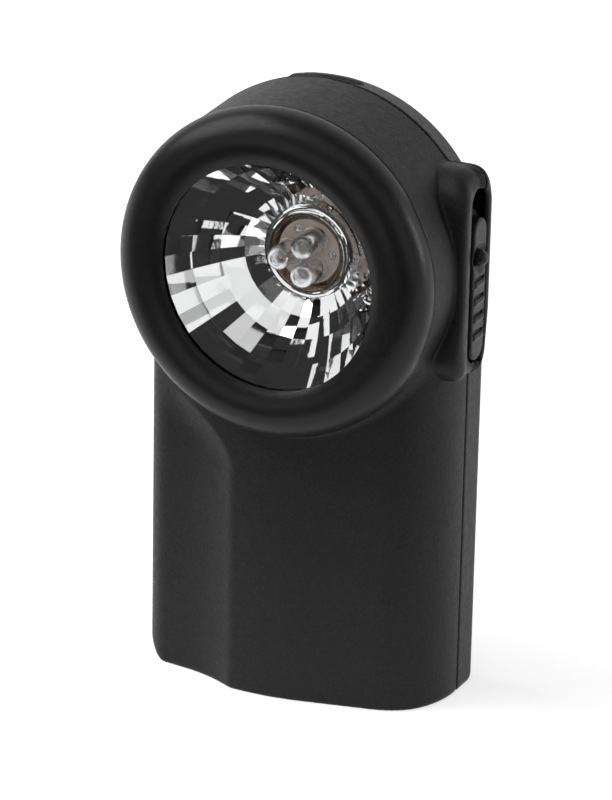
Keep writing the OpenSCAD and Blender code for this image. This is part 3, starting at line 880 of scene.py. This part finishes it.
def add_led(name, node):
    """Clear bullet-shaped LED with its cup and phosphor inside."""
    low, high = box_mm(node)
    centre = (low + high) / 2
    tip = low[1]
    back = high[1]
    flange_r = (high[0] - low[0]) / 2
    flange_y = back - 1.0
    bevel = 0.1
    radius = flange_r - 0.4
    profile = [(0, back), (flange_r - bevel, back), (flange_r, back - bevel)]
    profile += [(flange_r, flange_y + bevel), (flange_r - bevel, flange_y), (radius, flange_y)]
    profile += arc((0, tip + radius), radius, 0, -90, steps=13)
    profile[-1] = (0, tip)
    place = np.array([centre[0], 0, centre[2] - head_z])
    points, quads = lathe(profile, segments=48)
    made = piece(name + "_body", points + place, quads, clear_epoxy, "case", node)
    keep_edges(made, 40)
    cup_aside = 0.35
    cup_place = place - (cup_aside, 0, 0)
    cup_y = back - 4.2
    stem_y = back - 0.2
    cup = [(0, cup_y + 0.45), (0.42, cup_y + 0.45), (0.8, cup_y), (0.95, cup_y)]
    cup += [(0.7, cup_y + 0.9), (0.35, cup_y + 1.2), (0.3, stem_y), (0, stem_y)]
    points, quads = lathe(cup, segments=24)
    piece(name + "_cup", points + cup_place, quads, steel, "case", None)
    drop = [(0, cup_y + 0.44), (0.4, cup_y + 0.43), (0.74, cup_y + 0.06)]
    drop += [(0.5, cup_y - 0.1), (0, cup_y - 0.16)]
    points, quads = lathe(drop, segments=24)
    piece(name + "_phosphor", points + cup_place, quads, phosphor, "case", None)


def add_board():
    """Round board with solder joints, ringed by dark brown metal that is painted shade and a painted
    reflection of the board in the neck.
    """
    radius = board_high[0]
    front = board_low[1]
    joint_reach = 5.4
    # The board's tan is paler than its own tone: painted light for the neck it sits in.
    points, quads = lathe(bevelled_disc(radius, front, board_high[1], bevel=0.15), segments=96)
    made = piece("light_board", points, quads, board_tan_painted_light, "case", "led_board")
    keep_edges(made, 30)
    # Dark brown ring over the board's rim: painted shade and a painted reflection of the board in the
    # shaded neck.
    ring = [(radius + 0.2, front - 1.3), (radius - 0.1, front - 1.3), (radius - 0.5, front - 0.9)]
    ring += [(radius - 1.1, front - 0.15), (radius - 1.2, front - 0.02)]
    points, quads = lathe(ring, segments=96)
    piece("board_shade_ring", points, quads, painted_shade_ring_brown, "case", None)
    joint = [(0, front - 0.06), (0.3, front - 0.06), (0.5, front - 0.28)]
    joint += [(0.85, front - 0.12), (1.05, front + 0.05)]
    points, quads = lathe(joint, segments=32)
    for i, angle in enumerate((120, 0, 240)):
        turn = math.radians(angle)
        place = np.array([joint_reach * math.cos(turn), 0, joint_reach * math.sin(turn)])
        piece(f"solder_{i + 1}", points + place, quads, steel, "case", None)


# Switch

def add_knob():
    """Sliding knob with its ribs."""
    margin = 0.6
    step = 0.25
    points, quads, slopes = sculpt(slider_field, slider_low - margin, slider_high + margin, step)
    piece("slide_knob", points, quads, slider_black, "slider", "switch_slider",
          slopes=slopes)


def add_button():
    """Round-topped button with a collar, turned about the head's axis and then laid towards +x."""
    tip = button_high[0] - button_low[0]
    collar_r = button_high[2] - button_z
    collar_low = 1.2
    collar_high = 2.3
    profile = [(0, 0), (button_r, 0), (button_r, collar_low)]
    profile += [(collar_r, collar_low), (collar_r, collar_high), (button_r, collar_high)]
    profile += arc((0, tip - button_r), button_r, 0, 90, steps=11)
    profile[-1] = (0, tip)
    points, quads = lathe(profile, segments=48)
    points = points - (0, 0, head_z)
    laid = points[:, [1, 0, 2]] * (1, 1, -1) + (button_low[0], slot_y, button_z)
    made = piece("button_dome", laid, quads, slider_black, "button", "flash_button")
    keep_edges(made, 40)


# Stage, light and camera

def seen_rays(tree):
    """1 for the rays that see a background: straight, mirrored or through glass."""
    paths = tree.nodes.new("ShaderNodeLightPath")
    seen = paths.outputs["Is Camera Ray"]
    for name in ("Is Glossy Ray", "Is Transmission Ray"):
        both = tree.nodes.new("ShaderNodeMath")
        both.operation = "MAXIMUM"
        tree.links.new(seen, both.inputs[0])
        tree.links.new(paths.outputs[name], both.inputs[1])
        seen = both.outputs["Value"]
    return seen


def add_floor():
    """Pale floor beside and behind the object, lifted towards white where it is seen."""
    size = 3000.0
    front = -130.0
    lift = 0.65
    look = Shader("floor", (0.86, 0.86, 0.86), 0.8, Specular_IOR_Level=0.2)
    look.tint(look.noise(300.0), (0.85, 0.85, 0.85), (0.87, 0.87, 0.87))
    look.bsdf.inputs["Emission Color"].default_value = (1, 1, 1, 1)
    strength = look.spread(seen_rays(look.tree), 0, lift, 0, 1)
    look.tree.links.new(strength, look.bsdf.inputs["Emission Strength"])
    mesh = bpy.data.meshes.new("floor")
    edge = [(-size, front), (size, front), (size, size), (-size, size)]
    mesh.from_pydata([(x * MM, y * MM, 0) for x, y in edge], [], [range(len(edge))])
    mesh.materials.append(look.material)
    floor = bpy.data.objects.new("floor", mesh)
    scene.collection.objects.link(floor)


def add_world():
    """Dim studio with a white backdrop behind the object. The camera sees white all round."""
    backdrop_start = 0.2
    backdrop_full = 0.5
    dim_grey = 0.03
    world = bpy.data.worlds.new("studio")
    world.use_nodes = True
    scene.world = world
    tree = world.node_tree
    tree.nodes.clear()
    direction = tree.nodes.new("ShaderNodeTexCoord").outputs["Generated"]
    split = tree.nodes.new("ShaderNodeSeparateXYZ")
    behind = tree.nodes.new("ShaderNodeMapRange")
    behind.inputs["From Min"].default_value = backdrop_start
    behind.inputs["From Max"].default_value = backdrop_full
    paths = tree.nodes.new("ShaderNodeLightPath")
    mirrored = tree.nodes.new("ShaderNodeMath")
    mirrored.operation = "MULTIPLY"
    shown = tree.nodes.new("ShaderNodeMath")
    shown.operation = "MAXIMUM"
    dim = tree.nodes.new("ShaderNodeBackground")
    dim.inputs["Color"].default_value = (dim_grey, dim_grey, dim_grey, 1)
    white = tree.nodes.new("ShaderNodeBackground")
    white.inputs["Color"].default_value = (1, 1, 1, 1)
    mix = tree.nodes.new("ShaderNodeMixShader")
    out = tree.nodes.new("ShaderNodeOutputWorld")
    tree.links.new(direction, split.inputs[0])
    tree.links.new(split.outputs["Y"], behind.inputs["Value"])
    tree.links.new(behind.outputs["Result"], mirrored.inputs[0])
    tree.links.new(seen_rays(tree), mirrored.inputs[1])
    tree.links.new(mirrored.outputs["Value"], shown.inputs[0])
    tree.links.new(paths.outputs["Is Camera Ray"], shown.inputs[1])
    tree.links.new(shown.outputs["Value"], mix.inputs["Fac"])
    tree.links.new(dim.outputs["Background"], mix.inputs[1])
    tree.links.new(white.outputs["Background"], mix.inputs[2])
    tree.links.new(mix.outputs["Shader"], out.inputs["Surface"])


def add_lamp(name, place, size, power, aim_z=98):
    """Soft rectangular lamp that faces a height on the object's upright axis."""
    lamp = bpy.data.lights.new(name, "AREA")
    lamp.shape = "RECTANGLE"
    lamp.size = size[0] * MM
    lamp.size_y = size[1] * MM
    lamp.energy = power
    holder = bpy.data.objects.new(name, lamp)
    holder.location = Vector(place) * MM
    holder.rotation_euler = (Vector((0, 0, aim_z)) - Vector(place)).to_track_quat("-Z", "Y").to_euler()
    scene.collection.objects.link(holder)


def add_camera():
    """Camera at the photograph's place and angle."""
    azimuth = math.radians(25.592)
    elevation = math.radians(20.585)
    roll = math.radians(1.191)
    place = Vector((368.0, -769.9, 384.2))
    focal_px = 4225.9
    frame_px = 800
    right = Vector((math.cos(azimuth), math.sin(azimuth), 0))
    level = Vector((-math.sin(azimuth), math.cos(azimuth), 0))
    ahead = level * math.cos(elevation) - Vector((0, 0, math.sin(elevation)))
    up = right.cross(ahead)
    side = right * math.cos(roll) + up * math.sin(roll)
    over = up * math.cos(roll) - right * math.sin(roll)
    facing = Matrix((side, over, -ahead)).transposed().to_4x4()
    data = bpy.data.cameras.new("camera")
    data.sensor_width = 36
    data.lens = focal_px / frame_px * data.sensor_width
    data.clip_end = 20
    camera = bpy.data.objects.new("camera", data)
    camera.matrix_world = Matrix.Translation(place * MM) @ facing
    scene.collection.objects.link(camera)
    scene.camera = camera


add_case()
add_bezel()
add_lens()
add_reflector()
for name in ("left", "upper", "lower"):
    add_led(f"led_{name}_lamp", f"led_{name}")
add_board()
add_knob()
add_button()
add_floor()
add_world()
add_lamp("key_left", (-800, -300, 900), (900, 900), 11, aim_z=70)
add_lamp("over_front", (60, -560, 1020), (1400, 520), 2.1)
add_lamp("card_front", (-230, -1080, 205), (1250, 540), 2.2)
add_lamp("fill_right", (980, -400, 420), (620, 900), 1.7)
add_lamp("rim_right", (900, 440, 310), (220, 500), 2.6)
add_camera()
scene.view_settings.view_transform = "Standard"
